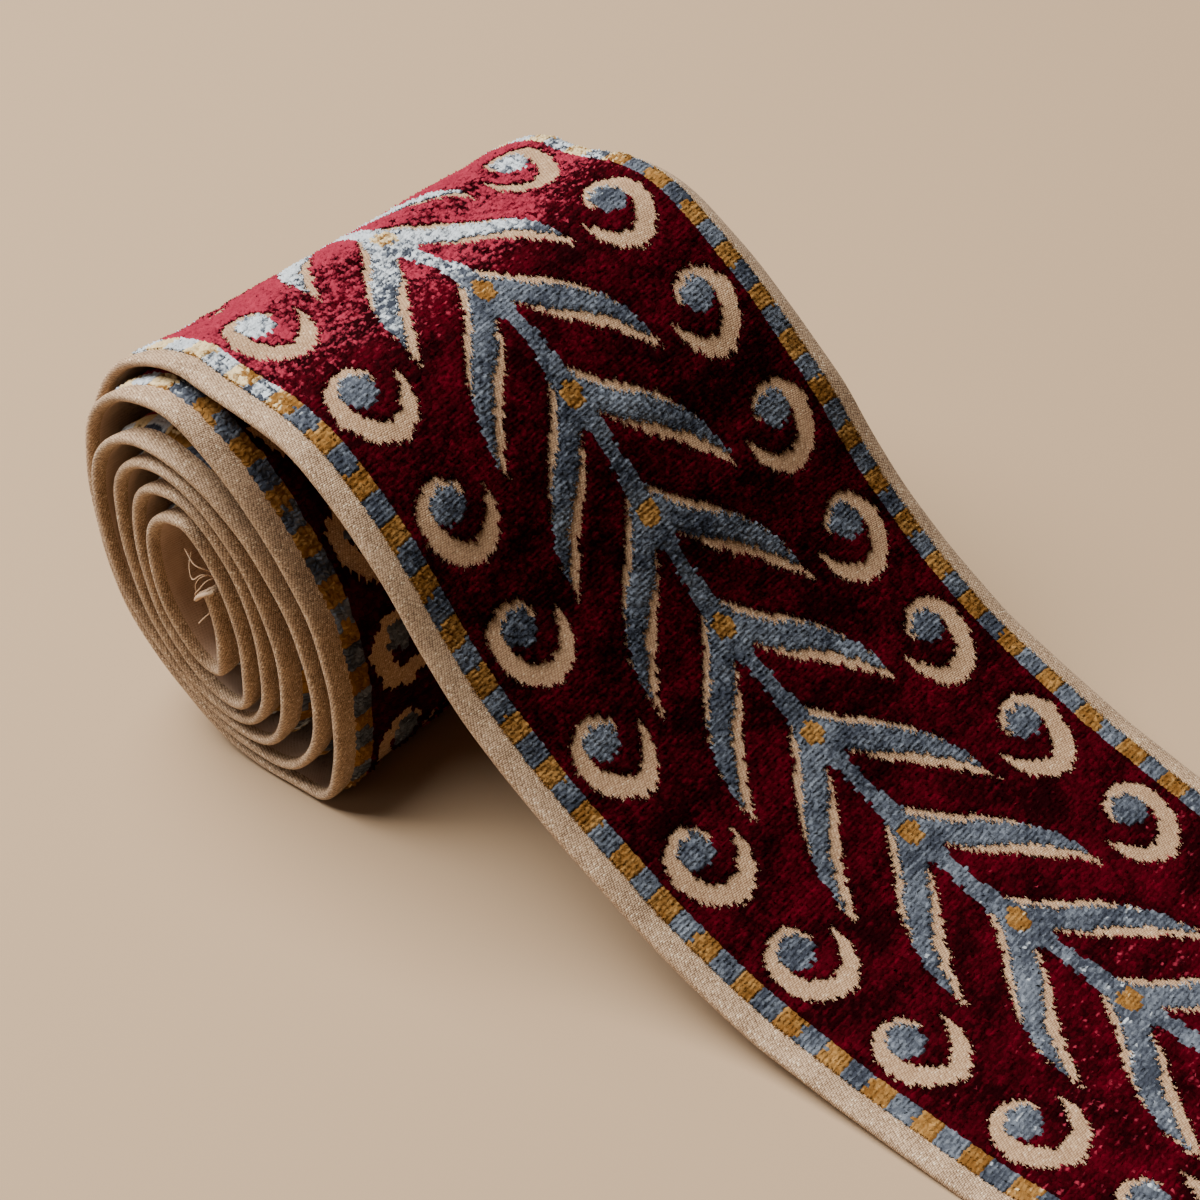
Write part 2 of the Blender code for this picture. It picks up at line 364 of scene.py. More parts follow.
class Wire:
    """A socket of a material. Arithmetic on it adds Math nodes, and node() adds any other node."""

    def __init__(self, tree, socket=None):
        self.tree = tree
        self.socket = socket

    def node(self, kind, settings=None, inputs=None, output=0):
        """Adds a node of this type: its settings or ramp stops first, then values or links for its sockets."""
        made = self.tree.nodes.new(kind)
        for name, value in (settings or {}).items():
            if name == "stops":
                ramp = made.color_ramp
                ramp.elements[0].position, ramp.elements[0].color = value[0]
                ramp.elements[1].position, ramp.elements[1].color = value[-1]
                for position, colour in value[1:-1]:
                    ramp.elements.new(position).color = colour
            else:
                setattr(made, name, value)
        for name, value in (inputs or {}).items():
            if isinstance(value, Wire):
                self.tree.links.new(value.socket, made.inputs[name])
            else:
                made.inputs[name].default_value = value
        return Wire(self.tree, made.outputs[output])

    def also(self, output):
        """Another output of the same node."""
        return Wire(self.tree, self.socket.node.outputs[output])

    def maths(self, operation, *values):
        return self.node("ShaderNodeMath", {"operation": operation}, dict(enumerate(values)))

    def __add__(self, other):
        return self.maths("ADD", self, other)

    def __sub__(self, other):
        return self.maths("SUBTRACT", self, other)

    def __rsub__(self, other):
        return self.maths("SUBTRACT", other, self)

    def __mul__(self, other):
        return self.maths("MULTIPLY", self, other)

    __radd__ = __add__
    __rmul__ = __mul__

    def between(self, low, high):
        """0 below low, 1 above high, and eased between them."""
        return self.node(
            "ShaderNodeMapRange",
            {"interpolation_type": "SMOOTHSTEP"},
            {"Value": self, "From Min": low, "From Max": high},
        )

    def wave(self, threads):
        """A ridge every so many threads: the sine of the value, from 0 to 1."""
        return self.maths("SINE", self * (2 * math.pi / threads)) * 0.5 + 0.5

    def mixed(self, first, second):
        """The first colour where this is 0, and the second where it is 1."""
        return self.node("ShaderNodeMix", {"data_type": "RGBA"}, {0: self, 6: first, 7: second}, 2)


def new_material(name, constants):
    """A material whose Principled shader has these constants on its own sockets, that shader and its tree."""
    material = bpy.data.materials.new(name)
    material.use_nodes = True
    shader = material.node_tree.nodes["Principled BSDF"]
    for socket, value in constants.items():
        shader.inputs[socket].default_value = value
    return material, shader, Wire(material.node_tree)


def finish_material(shader, start, colour, height, depth, roughness=None):
    """Links the colour, the height in millimetres through a Bump node, and any roughness to the shader."""
    normal = start.node("ShaderNodeBump", None, {"Strength": 1.0, "Distance": depth * MM, "Height": height})
    start.tree.links.new(colour.socket, shader.inputs["Base Color"])
    start.tree.links.new(normal.socket, shader.inputs["Normal"])
    if roughness:
        start.tree.links.new(roughness.socket, shader.inputs["Roughness"])


def weave_spot(start, cell_across=1.0, cell_along=1.0):
    """The spot on the tape from its UV map, counted in cells of this many millimetres: the vector and its parts."""
    spot = start.node("ShaderNodeUVMap", {"uv_map": "weave"})
    size = (1 / cell_across, 1 / cell_along, 1.0)
    spot = start.node("ShaderNodeVectorMath", {"operation": "MULTIPLY"}, {0: spot, 1: size})
    across = start.node("ShaderNodeSeparateXYZ", None, {0: spot}, "X")
    along = start.node("ShaderNodeSeparateXYZ", None, {0: spot}, "Y")
    return spot, across, along


def cell_tone(start, spot):
    """A random tone from 0 to 1 for each whole cell."""
    cell = start.node("ShaderNodeVectorMath", {"operation": "FLOOR"}, {0: spot})
    return start.node("ShaderNodeTexWhiteNoise", {"noise_dimensions": "2D"}, {"Vector": cell}, "Value")


def uneven_cells(start, spot, randomness):
    """Uneven round cells, about one to a unit: a random tone for each, and 1 at its middle falling to 0 at its rim."""
    inputs = {"Vector": spot, "Scale": 1.0, "Randomness": randomness}
    distance = start.node("ShaderNodeTexVoronoi", {"voronoi_dimensions": "2D"}, inputs, "Distance")
    tone = start.node("ShaderNodeSeparateColor", None, {0: distance.also("Color")}, 0)
    return tone, 1 - distance.between(0.12, 0.66)


def stretched(start, across, along, scale_across, scale_along, detail, seed):
    """Noise that is drawn out across or along the tape."""
    spot = start.node("ShaderNodeCombineXYZ", None, {0: across * scale_across, 1: along * scale_along, 2: seed})
    return start.node("ShaderNodeTexNoise", None, {"Vector": spot, "Scale": 1.0, "Detail": detail}, "Fac")


def opaque(colour):
    return (*colour, 1.0)


def lit_share(start, tuft, patch, scatter):
    """How much of the pile shows its fibres' sides, which shine, and not their tips, which are dark.

    It grows with the angle between the fibres and the line of sight, which Layer Weight gives. Each tuft and each
    patch of the cloth turns at an angle of its own, and the gaps between tufts stay dark longest, as painted shade.
    """
    fibre = start.node("ShaderNodeAttribute", {"attribute_name": "fibre"}, None, "Vector")
    space = {"vector_type": "NORMAL", "convert_from": "OBJECT", "convert_to": "WORLD"}
    fibre = start.node("ShaderNodeVectorTransform", space, {"Vector": fibre})
    angle = start.node("ShaderNodeLayerWeight", None, {"Blend": 0.5, "Normal": fibre}, "Facing")
    tone, dome = tuft
    # Tuft rims shine later than their middles: painted shade in the gaps between tufts.
    turned = (tone - 0.5) * scatter + (patch - 0.5) * 0.12 + (dome - 0.7) * 0.14
    return (angle + turned).between(0.55, 0.76)


def pile_material(name, dark, light, shine, scatter, relief_and_gap_shade):
    """Velvet pile: dark where its tips are seen, shining where its sides are, with a tone of its own to each tuft."""
    material, shader, start = new_material(name, {"Specular IOR Level": 0.04, "Specular Tint": opaque(shine)})
    spot, across, along = weave_spot(start)
    pairs, _, row = weave_spot(start, 1.7 * TUFT_WIDTH, TUFT_LENGTH)
    tone, dome = uneven_cells(start, pairs, 0.65)
    # Each tuft's dome falls to its rim and between rows; in the base colour it is painted shade in the gaps.
    dome = dome * (1 - 0.45 * relief_and_gap_shade) + (row - 0.25).wave(1.0) * (0.45 * relief_and_gap_shade)
    # Slow patches of the nap: in the base colour they are painted light and shade, whole areas lighter or darker.
    patch = stretched(start, across, along, 0.10, 0.16, 4.0, 7.0)
    # Thin streaks along the rows, painted highlights as where ruffled pile catches the light.
    highlight_streak = stretched(start, across, along, 0.35, 1.56, 1.0, 3.0).between(0.52, 0.72)
    fibres = start.node("ShaderNodeTexNoise", None, {"Vector": spot, "Scale": 4.0, "Detail": 2.0}, "Fac")
    # The base colour runs from the shaded to the lit tone by each tuft's random tone and fibres, the painted highlight
    # streaks, painted shade at the tufts' rims and painted light and shade in slow patches.
    mix = tone * tone * 0.35 + highlight_streak * 0.35 + (dome - 0.5) * 0.40 * relief_and_gap_shade + (patch - 0.5) * 1.7 + (fibres - 0.5) * 0.4
    mix = mix + 0.08
    colour = mix.node("ShaderNodeClamp", None, {0: mix}).mixed(opaque(dark), opaque(light))
    height = fibres * 0.5 + dome * 0.8
    finish_material(shader, start, colour, height, 0.22 * relief_and_gap_shade, 0.8 - fibres * 0.2)

    bright = material.node_tree.nodes.new("ShaderNodeBsdfPrincipled")
    for socket, value in {"Specular IOR Level": 0.08, "Roughness": 0.6, "Sheen Weight": 0.3}.items():
        bright.inputs[socket].default_value = value
    bright.inputs["Specular Tint"].default_value = opaque(shine)
    bright.inputs["Sheen Tint"].default_value = opaque(shine)
    bright.inputs["Sheen Roughness"].default_value = 0.4
    # The shining shader's colour, from half to full shine by random tone and fibres, brighter in the painted highlight
    # streaks.
    glow = (tone * 0.35 + fibres * 0.6 + highlight_streak * 0.2 - 0.05).mixed(opaque([part * 0.5 for part in shine]), opaque(shine))
    finish_material(bright, start, glow, height, 0.14)
    share = lit_share(start, (tone, dome), patch + highlight_streak * 0.3 - 0.1, scatter)
    shared = start.node("ShaderNodeMixShader", None, {0: share})
    tree = material.node_tree
    tree.links.new(shader.outputs[0], shared.socket.node.inputs[1])
    tree.links.new(bright.outputs[0], shared.socket.node.inputs[2])
    tree.links.new(shared.socket, tree.nodes["Material Output"].inputs["Surface"])
    return material


CLOTH = {
    "Specular IOR Level": 0.35,
    "Sheen Weight": 0.12,
    "Sheen Tint": (0.95, 0.85, 0.75, 1.0),
    "Sheen Roughness": 0.5,
}


def twill(start, pitch_across, pitch_along):
    """Fine twill: two crossing sets of slanting ridges, and a random tone for each float."""
    spot, across, along = weave_spot(start, pitch_across, pitch_along)
    ridges = (across + along).wave(1.0) * 0.6 + (across - along).wave(1.0) * 0.4
    return ridges, cell_tone(start, spot)


def cloth_material(name, light, shade, float_long, float_wide, slant, depth, painted_glint):
    """Woven cotton in short slanting floats with tones of their own, painted shade at their rims and a few painted
    glints.
    """
    material, shader, start = new_material(name, CLOTH)
    _, across, along = weave_spot(start)
    spot = {0: (across + along * slant) * (1 / float_long), 1: (along - across * slant * 0.3) * (1 / float_wide)}
    tone, dome = uneven_cells(start, start.node("ShaderNodeCombineXYZ", None, spot), 0.35)
    worn = stretched(start, across, along, 0.35, 0.25, 4.0, 11.0)
    # Each float darkens towards its rim, painted shade between the floats.
    mix = dome * 0.72 + tone * 0.34 + (worn - 0.5) * 0.5 - 0.07
    plain = mix.node("ShaderNodeClamp", None, {0: mix}).mixed(opaque(shade), opaque(light))
    # A few floats, picked by their tone, turn pale gold in their middles: painted glints.
    shining = (tone.between(0.90, 0.98) * dome * painted_glint).mixed(plain, (0.90, 0.74, 0.50, 1.0))
    finish_material(shader, start, shining, dome * 0.7 + tone * 0.3, depth, 0.85 - tone * 0.3)
    return material


def back_material(name, light, shade, fleck):
    """The tape's back: a fine close weave with a short nap, and the pile's roots as faint coloured flecks."""
    material, shader, start = new_material(name, CLOTH)
    ridges, tone = twill(start, 0.30, 0.34)
    spot, across, along = weave_spot(start)
    worn = stretched(start, across, along, 0.25, 0.25, 4.0, 17.0)
    mix = ridges * 0.25 + (worn - 0.5) * 0.9 + 0.45
    plain = mix.node("ShaderNodeClamp", None, {0: mix}).mixed(opaque(shade), opaque(light))
    inside = across.maths("ABSOLUTE", across).between(TAPE_WIDTH / 2 + 5, TAPE_WIDTH / 2 + 6)
    flecks = tone.between(0.80, 0.98) * inside * 0.35
    finish_material(shader, start, flecks.mixed(plain, opaque(fleck)), ridges * 0.6 + tone * 0.4, 0.10)
    return material


def add_mesh(name, points, faces, corner_spots, materials, material_index, caps=()):
    """A smooth mesh object in metres: faces of as many corners each, any caps with more, and its map in millimetres."""
    mesh = bpy.data.meshes.new(name)
    corners = np.concatenate([faces.ravel(), *caps]).astype(np.int32)
    sizes = np.array([faces.shape[1]] * len(faces) + [len(cap) for cap in caps])
    mesh.vertices.add(len(points))
    mesh.vertices.foreach_set("co", points.astype(np.float32).ravel())
    mesh.loops.add(len(corners))
    mesh.loops.foreach_set("vertex_index", corners)
    mesh.polygons.add(len(sizes))
    mesh.polygons.foreach_set("loop_start", (np.cumsum(sizes) - sizes).astype(np.int32))
    for material in materials:
        mesh.materials.append(material)
    mesh.polygons.foreach_set("material_index", material_index.astype(np.int32).ravel())
    weave = mesh.uv_layers.new(name="weave")
    weave.data.foreach_set("uv", corner_spots.astype(np.float32).ravel())
    mesh.update(calc_edges=True)
    mesh.validate()
    mesh.shade_smooth()
    made = bpy.data.objects.new(name, mesh)
    bpy.context.scene.collection.objects.link(made)
    return made


def add_fibres(piece, fibres):
    """Gives each point of a pile piece the way that its fibres point, which the pile's materials read."""
    fibre = piece.data.attributes.new("fibre", "FLOAT_VECTOR", "POINT")
    fibre.data.foreach_set("vector", fibres.astype(np.float32).ravel())


def grid_faces(rows, columns):
    """Four-cornered faces over a grid of points numbered row by row, facing along rows x columns."""
    row = np.arange(rows - 1)[:, None] * columns
    column = np.arange(columns - 1)[None]
    return np.stack([row + column, row + columns + column, row + columns + column + 1, row + column + 1], axis=-1)


def ground_section(settings):
    """The ground cloth's outline, once round from the middle of its back by the near side to the middle again.

    The face is flat a little below the pile's top. Each selvedge is a flattened oval in section, and runs from a
    shallow groove beside the pile round its outer side to the flat back.
    """
    face = settings.face_height / MM
    middle, half = TAPE_WIDTH / 2 - 1.5, 1.5
    centre, rise = (LIP + BACK) / 2, (LIP - BACK) / 2
    turn = np.linspace(math.pi / 2, -math.pi / 2, settings.selvedge_steps)
    oval = np.stack([np.cos(turn), np.sin(turn)], axis=1)
    oval = np.sign(oval) * np.abs(oval) ** 0.72 * [half, rise] + [middle, centre]
    groove = np.array([[PILE_EDGE, face - 0.08], [PILE_EDGE + 0.45, face - 0.02], [PILE_EDGE + 1.1, LIP - 0.03]])
    across = np.linspace(0, PILE_EDGE, settings.ground_steps // 2)[:-1]
    top = np.stack([across, np.full(len(across), face)], axis=1)
    across = np.linspace(middle - 1, 0, settings.ground_steps // 5)
    back = np.stack([across, np.full(len(across), BACK)], axis=1)
    far = np.vstack([top, groove, oval, back])
    return np.vstack([far[:0:-1] * [-1, 1], far])


class TapeSizes(bpy.types.PropertyGroup):
    """Sizes of the weave that a user would change."""

    face_height: FloatProperty(
        name="Ground face", description="Height of the ground's face over the mid-plane", default=0.4 * MM, unit="LENGTH"
    )
    selvedge_steps: IntProperty(name="Selvedge steps", description="Points round a selvedge's outer side", default=11)
    ground_steps: IntProperty(name="Ground steps", description="Points across the ground's face", default=44)
    ground_pitch: FloatProperty(
        name="Ground rows", description="Distance between the ground's rows", default=1.0 * MM, unit="LENGTH"
    )
    row_groove: FloatProperty(
        name="Row groove", description="Depth between two rows of tufts", default=0.30 * MM, unit="LENGTH"
    )
    column_groove: FloatProperty(
        name="Column groove", description="Depth between two tufts of a row", default=0.24 * MM, unit="LENGTH"
    )
    tuft_tilt: FloatProperty(
        name="Uneven cut", description="How unevenly the tufts are cut", default=0.10 * MM, unit="LENGTH"
    )


def colour_property(name, description, default):
    return FloatVectorProperty(name=name, description=description, default=default, subtype="COLOR", min=0, max=1)


class TapeColours(bpy.types.PropertyGroup):
    """Colours of the yarns, each as its shaded and its lit tone."""

    crimson_dark: colour_property("Crimson, dark", "Depth of the crimson pile", (0.009, 0.0004, 0.0010))
    crimson_light: colour_property("Crimson, light", "Lit tips of the crimson pile", (0.085, 0.0012, 0.006))
    crimson_shine: colour_property("Crimson, shining", "Sides of the crimson fibres", (0.33, 0.027, 0.050))
    slate_shine: colour_property("Slate, shining", "Sides of the slate fibres", (0.60, 0.64, 0.66))
    gold_shine: colour_property("Gold, shining", "Sides of the gold fibres", (0.78, 0.58, 0.30))
    slate_dark: colour_property("Slate, dark", "Depth of the slate pile", (0.030, 0.034, 0.045))
    slate_light: colour_property("Slate, light", "Lit tips of the slate pile", (0.18, 0.20, 0.23))
    gold_dark: colour_property("Gold, dark", "Depth of the gold pile", (0.14, 0.058, 0.012))
    gold_light: colour_property("Gold, light", "Lit tips of the gold pile", (0.38, 0.20, 0.060))
    back_shade: colour_property("Back, shaded", "Hollows of the back", (0.27, 0.165, 0.105))
    back_light: colour_property("Back, lit", "Face of the back", (0.62, 0.42, 0.285))
    ground_shade: colour_property("Ground, shaded", "Hollows of the beige ground", (0.20, 0.105, 0.050))
    ground_light: colour_property("Ground, lit", "Face of the beige ground", (0.50, 0.31, 0.165))
    selvedge_shade: colour_property("Selvedge, shaded", "Hollows of the selvedge", (0.115, 0.060, 0.027))
    selvedge_light: colour_property("Selvedge, lit", "Face of the selvedge", (0.62, 0.415, 0.245))


def draw_properties(layout, group):
    for name in type(group).__annotations__:
        layout.prop(group, name)


class TRIM_OT_ground(bpy.types.Operator):
    """Weaves the ground cloth with both selvedges, whole from the inner end to the cut end"""

    bl_idname = "trim.ground"
    bl_label = "Ground cloth"

    def execute(self, context):
        sizes, colours = context.scene.trim_sizes, context.scene.trim_colours
        lie = Lie()
        section = ground_section(sizes)
        ring = len(section) - 1
        span = lie.along[-1] - lie.along[0]
        along = np.linspace(lie.along[0], lie.along[-1], int(span / (sizes.ground_pitch / MM)))
        points = lie.place(along[:, None], section[None, :-1, 0], section[None, :-1, 1])
        steps = np.linalg.norm(np.diff(section, axis=0), axis=1)
        round_it = np.append(0, np.cumsum(steps)) - steps.sum() / 2
        spots = np.stack(np.broadcast_arrays(round_it[None], along[:, None]), axis=-1).reshape(-1, 2)
        grid = grid_faces(len(along), ring + 1).reshape(-1, 4)
        faces = grid // (ring + 1) * ring + grid % (ring + 1) % ring
        caps = [np.arange(ring), np.arange(ring)[::-1] + (len(along) - 1) * ring]
        cap_spots = [spots[: len(caps[0])], spots[: len(caps[1])]]
        middle = (section[1:] + section[:-1]) / 2
        kind = np.where(np.abs(middle[:, 0]) < PILE_EDGE, 0, 1)
        kind[(middle[:, 1] <= BACK + 0.01)] = 2
        index = np.append(np.broadcast_to(kind, (len(along) - 1, ring)).ravel(), [1, 1])
        light, shade = colours.ground_light, colours.ground_shade
        edge = colours.selvedge_light, colours.selvedge_shade
        materials = [
            # The last number of each cloth is its share of painted glints.
            cloth_material("beige_ground", light, shade, 0.48, 0.26, 0.55, 0.07, 0.30),
            cloth_material("beige_selvedge", *edge, 0.42, 0.24, 0.50, 0.07, 0.60),
            back_material("beige_back", colours.back_light, colours.back_shade, colours.crimson_light),
        ]
        corner_spots = np.concatenate([spots[grid.ravel()], *cap_spots])
        ground = add_mesh("tape_ground", points.reshape(-1, 3), faces, corner_spots, materials, index, caps)
        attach(ground, BODY)
        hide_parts(NODE)
        return {"FINISHED"}


class Pile:
    """Tufts over a length of the tape, each a cell of the weave with so many cuts to a side.

    A tuft takes its yarn from the chart at its centre, moved a little at random. Its top is a dome: full height less
    a groove's depth times one minus the root of a half sine, along and across, and it is cut at a height of its own.
    Between two yarns the groove is deeper. Where a tuft stands beside an opening its side comes down to the ground,
    bulging out between the grooves and drawn in at them.
    """

    def __init__(self, lie, starts, ends, tufts, rows, cuts, sizes, seed):
        random = np.random.default_rng(seed)
        self.lie, self.random = lie, random
        self.first, self.tufts = math.ceil(starts * rows), tufts
        self.joined = (starts > lie.along[0] / REPEAT, ends < lie.along[-1] / REPEAT)
        self.cell = np.array([REPEAT / rows, 2 * PILE_EDGE / tufts])
        shape = (math.floor(ends * rows) - self.first, tufts)
        spots = np.indices(shape) + 0.5 + np.array([self.first, -tufts / 2])[:, None, None]
        along, across = (spots + random.uniform(-0.3, 0.3, (2, *shape))) * self.cell[:, None, None]
        self.tuft_yarn = yarn = chart(across / THREAD, along / REPEAT)

        line_rows, line_columns = (np.arange(count * cuts + 1) for count in shape)
        grid = (len(line_rows), len(line_columns))
        padded = self.surrounded()
        sides = [[((line + side) // cuts + 1).astype(int) for side in (-0.5, 0.5)] for line in (line_rows, line_columns)]
        around = np.array([[padded[np.ix_(row, column)] for column in sides[1]] for row in sides[0]])
        stands = (around != GROUND).astype(float)
        edge = stands.min(axis=(0, 1)) == 0
        seam = around.min(axis=(0, 1)) != around.max(axis=(0, 1))
        lift_along, lift_across = (np.sin(math.pi * (line % cuts) / cuts) ** 0.5 for line in (line_rows, line_columns))
        if cuts == 1:
            lift_along, lift_across = lift_along + 1, lift_across + 1
        lift_along, lift_across = lift_along[:, None], lift_across[None]

        owner = np.ix_(np.minimum(line_rows // cuts, shape[0] - 1), np.minimum(line_columns // cuts, tufts - 1))
        rise = random.normal(0, sizes.tuft_tilt / MM, shape)[owner]
        height = PILE_TOP - 0.08 + rise * lift_along * lift_across
        worn = random.uniform(0.3, 1.5, (2, *grid))
        height -= sizes.row_groove / MM * (1 - lift_along) * worn[0]
        height -= sizes.column_groove / MM * (1 - lift_across) * worn[1]
        height -= 0.06 * seam
        wide = np.pad(edge, 1, mode="edge")
        rim = wide[:-2, 1:-1] | wide[2:, 1:-1] | wide[1:-1, :-2] | wide[1:-1, 2:]
        height -= 0.10 * rim
        face = sizes.face_height / MM
        height = np.where(edge, face - 0.08, np.clip(height, face + 0.15, PILE_TOP + 0.12))

        to_after = (stands[1] - stands[0]).sum(axis=0) / 2
        to_right = (stands[:, 1] - stands[:, 0]).sum(axis=0) / 2
        place_along = (line_rows / cuts + self.first) * self.cell[0]
        place_across = (line_columns / cuts - tufts / 2) * self.cell[1]
        back, side = self.lean(shape)
        lean_on = -back[owner] - 0.55 * edge * to_after
        lean_side = side[owner] - 0.55 * edge * to_right
        self.fibres = self.vectors(place_along, lean_on, lean_side).reshape(-1, 3)

        bulge = random.uniform(0.0, 0.30, (2, *grid))
        draw_in = random.uniform(0.10, 0.35, (2, *grid))
        jitter = random.normal(0, 0.12, (2, *grid))
        move_along = jitter[0] - edge * to_after * (bulge[0] * lift_across - draw_in[0] * (1 - lift_across))
        move_across = jitter[1] - edge * to_right * (bulge[1] * lift_along - draw_in[1] * (1 - lift_along))
        points_along = place_along[:, None] + move_along * self.cell[0]
        points_along[0] -= JOIN_OVERLAP * self.joined[0]
        points_along[-1] += JOIN_OVERLAP * self.joined[1]
        points_across = place_across[None] + move_across * self.cell[1]
        self.points = lie.place(points_along, points_across, height).reshape(-1, 3)
        spots = np.broadcast_arrays(place_across[None], place_along[:, None])
        self.spots = np.stack(spots, axis=-1).reshape(-1, 2)
        self.faces = grid_faces(*grid)
        self.yarn = np.repeat(np.repeat(yarn, cuts, axis=0), cuts, axis=1)

    def surrounded(self):
        """The tufts' yarns with a row or column more on each side: open but where the next zone joins on."""
        padded = np.pad(self.tuft_yarn, 1, constant_values=GROUND)
        if self.joined[0]:
            padded[0] = padded[1]
        if self.joined[1]:
            padded[-1] = padded[-2]
        return padded

    def lean(self, shape):
        """How far each tuft leans back along the tape, and to the side, as shares of its height.

        The lean back is the nap's, plus slow waves over the cloth, plus runs along a row and a little at random. The
    free end's pile is the most disturbed, and leans further.
        """
        rows = (np.arange(shape[0]) + self.first)[:, None]
        columns = np.arange(shape[1])[None]
        slow = 2.2 * ripple(rows * self.cell[0] * 0.8 + 7, columns * self.cell[1] * 1.3)
        runs = self.random.normal(0, 1, (shape[0], shape[1] + 4))
        runs = np.stack([runs[:, i : i + shape[1]] for i in range(5)]).mean(axis=0)
        repeat = rows * self.cell[0] / REPEAT
        worn = np.interp(repeat, (0, 4, 9), (0.4, 1.0, 2.0))
        back = NAP_LEAN + np.interp(repeat, (5, 9), (0, 0.13)) + 0.25 * slow
        back = back + worn * (0.20 * runs + self.random.normal(0, 0.07, shape))
        return back, self.random.normal(0, 0.12, shape)

    def vectors(self, along, lean_on, lean_side):
        """Unit vectors that lean onward and to the far side from the tape's normal, for each row and column."""
        normal, across, onward = (axis[:, None] for axis in self.lie.axes(along))
        fibres = normal + lean_on[..., None] * onward + lean_side[..., None] * across
        return fibres / np.linalg.norm(fibres, axis=-1)[..., None]

    def mesh(self, name, yarns, materials):
        """A piece of the tufts of these yarns."""
        kept = np.isin(self.yarn, yarns)
        index = np.searchsorted(yarns, self.yarn[kept])
        used, faces = np.unique(self.faces[kept], return_inverse=True)
        faces = faces.reshape(-1, 4)
        piece = add_mesh(name, self.points[used], faces, self.spots[used][faces.ravel()], materials, index)
        add_fibres(piece, self.fibres[used])
        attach(piece, BODY)
        return piece

    def stray_fibres(self, name, to_a_side, sizes, materials):
        """A piece of small spikes that lean out over the ground from the tufts beside it.

        Each is a thin three-sided pyramid with its base upright in the tuft's side. Its tip lies beyond the side,
        moved back along the tape by the nap.
        """
        standing = self.surrounded() != GROUND
        found = []
        for out_along, out_across in ((1, 0), (-1, 0), (0, 1), (0, -1)):
            rows, columns = self.tuft_yarn.shape
            beside = standing[1 + out_along :, 1 + out_across :][:rows, :columns]
            row, column = np.nonzero((self.tuft_yarn != GROUND) & ~beside)
            found.append(np.stack([row, column, 0 * row + out_along, 0 * row + out_across, self.tuft_yarn[row, column]]))
        row, column, out_along, out_across, yarn = np.repeat(np.concatenate(found, axis=1), to_a_side, axis=1)

        count = len(row)
        random = self.random
        share = random.uniform(-0.5, 0.5, count)
        side_along, side_across = np.abs(out_across), np.abs(out_along)
        inside = 0.5 - random.uniform(0.05, 0.35, count)
        centre_along = (row + self.first + 0.5 + out_along * inside + side_along * share) * self.cell[0]
        centre_across = (column - self.tufts / 2 + 0.5 + out_across * inside + side_across * share) * self.cell[1]
        half = random.uniform(0.06, 0.15, count)
        low = sizes.face_height / MM + random.uniform(-0.05, 0.10, count)
        high = low + random.uniform(0.18, 0.42, count)
        reach = random.uniform(0.15, 0.50, count)
        tip_along = centre_along + out_along * reach - random.uniform(-0.05, 0.40, count)
        tip_across = centre_across + out_across * reach + random.normal(0, 0.08, count)
        tip_height = low + random.uniform(0.02, 0.45, count)
        corners = (
            (centre_along - side_along * half, centre_across - side_across * half, low),
            (centre_along + side_along * half, centre_across + side_across * half, low),
            (centre_along, centre_across, high),
            (tip_along, tip_across, tip_height),
        )
        points = np.stack([self.lie.place(*corner) for corner in corners], axis=1)
        first, second, third, tip = np.moveaxis(points, 1, 0)
        inward = np.einsum("ij,ij->i", np.cross(second - first, third - first), tip - first) < 0
        points[inward] = points[inward][:, [1, 0, 2, 3]]
        base = 4 * np.arange(count)[:, None, None]
        faces = (base + np.array([[0, 2, 1], [0, 1, 3], [1, 2, 3], [2, 0, 3]])).reshape(-1, 3)
        spots = np.stack([centre_across, centre_along], axis=-1)
        fibres = tip - (first + second) / 2
        normal, _, onward = self.lie.axes(centre_along)
        fibres = 0.7 * fibres / np.linalg.norm(fibres, axis=-1)[:, None] + normal - NAP_LEAN * onward
        fibres /= np.linalg.norm(fibres, axis=-1)[:, None]
        index = np.repeat(yarn - CRIMSON, 4)
        piece = add_mesh(name, points.reshape(-1, 3), faces, np.repeat(spots, 12, axis=0), materials, index)
        add_fibres(piece, np.repeat(fibres, 4, axis=0))
        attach(piece, BODY)
        return piece


# The pile is cut finest from this many repeats before the top of the roll, and coarsest inside the outermost turn.
FINE_FROM, OUTER_TURN_FROM = -1.5, -11


class TRIM_OT_pile(bpy.types.Operator):
    """Raises the crimson, slate and gold pile on the ground, most finely on the roll's top and the free length"""

    bl_idname = "trim.pile"
    bl_label = "Pile"

    def execute(self, context):
        sizes, colours = context.scene.trim_sizes, context.scene.trim_colours
        lie = Lie()
        yarns = [CRIMSON, SLATE, GOLD]
        materials = [
            pile_material("crimson_pile", colours.crimson_dark, colours.crimson_light, colours.crimson_shine, 0.16, 0.5),
            pile_material("slate_pile", colours.slate_dark, colours.slate_light, colours.slate_shine, 0.22, 0.75),
            pile_material("gold_pile", colours.gold_dark, colours.gold_light, colours.gold_shine, 0.20, 0.7),
        ]
        starts, ends = lie.along[[0, -1]] / REPEAT
        inner = Pile(lie, starts, OUTER_TURN_FROM, COARSE_TUFTS, COARSE_ROWS, 1, sizes, 5)
        turn = Pile(lie, OUTER_TURN_FROM, FINE_FROM, COARSE_TUFTS, COARSE_ROWS, 2, sizes, 6)
        free = Pile(lie, FINE_FROM, ends, TUFTS, ROWS, 2, sizes, 7)
        pieces = [inner.mesh("inner_velvet", yarns, materials), turn.mesh("outer_turn_velvet", yarns, materials)]
        for yarn, name in enumerate(("crimson_velvet", "slate_velvet", "gold_velvet")):
            pieces.append(free.mesh(name, yarns[yarn : yarn + 1], materials[yarn : yarn + 1]))
        pieces.append(free.stray_fibres("pile_edge_fibres", 2, sizes, materials))
        return {"FINISHED"}


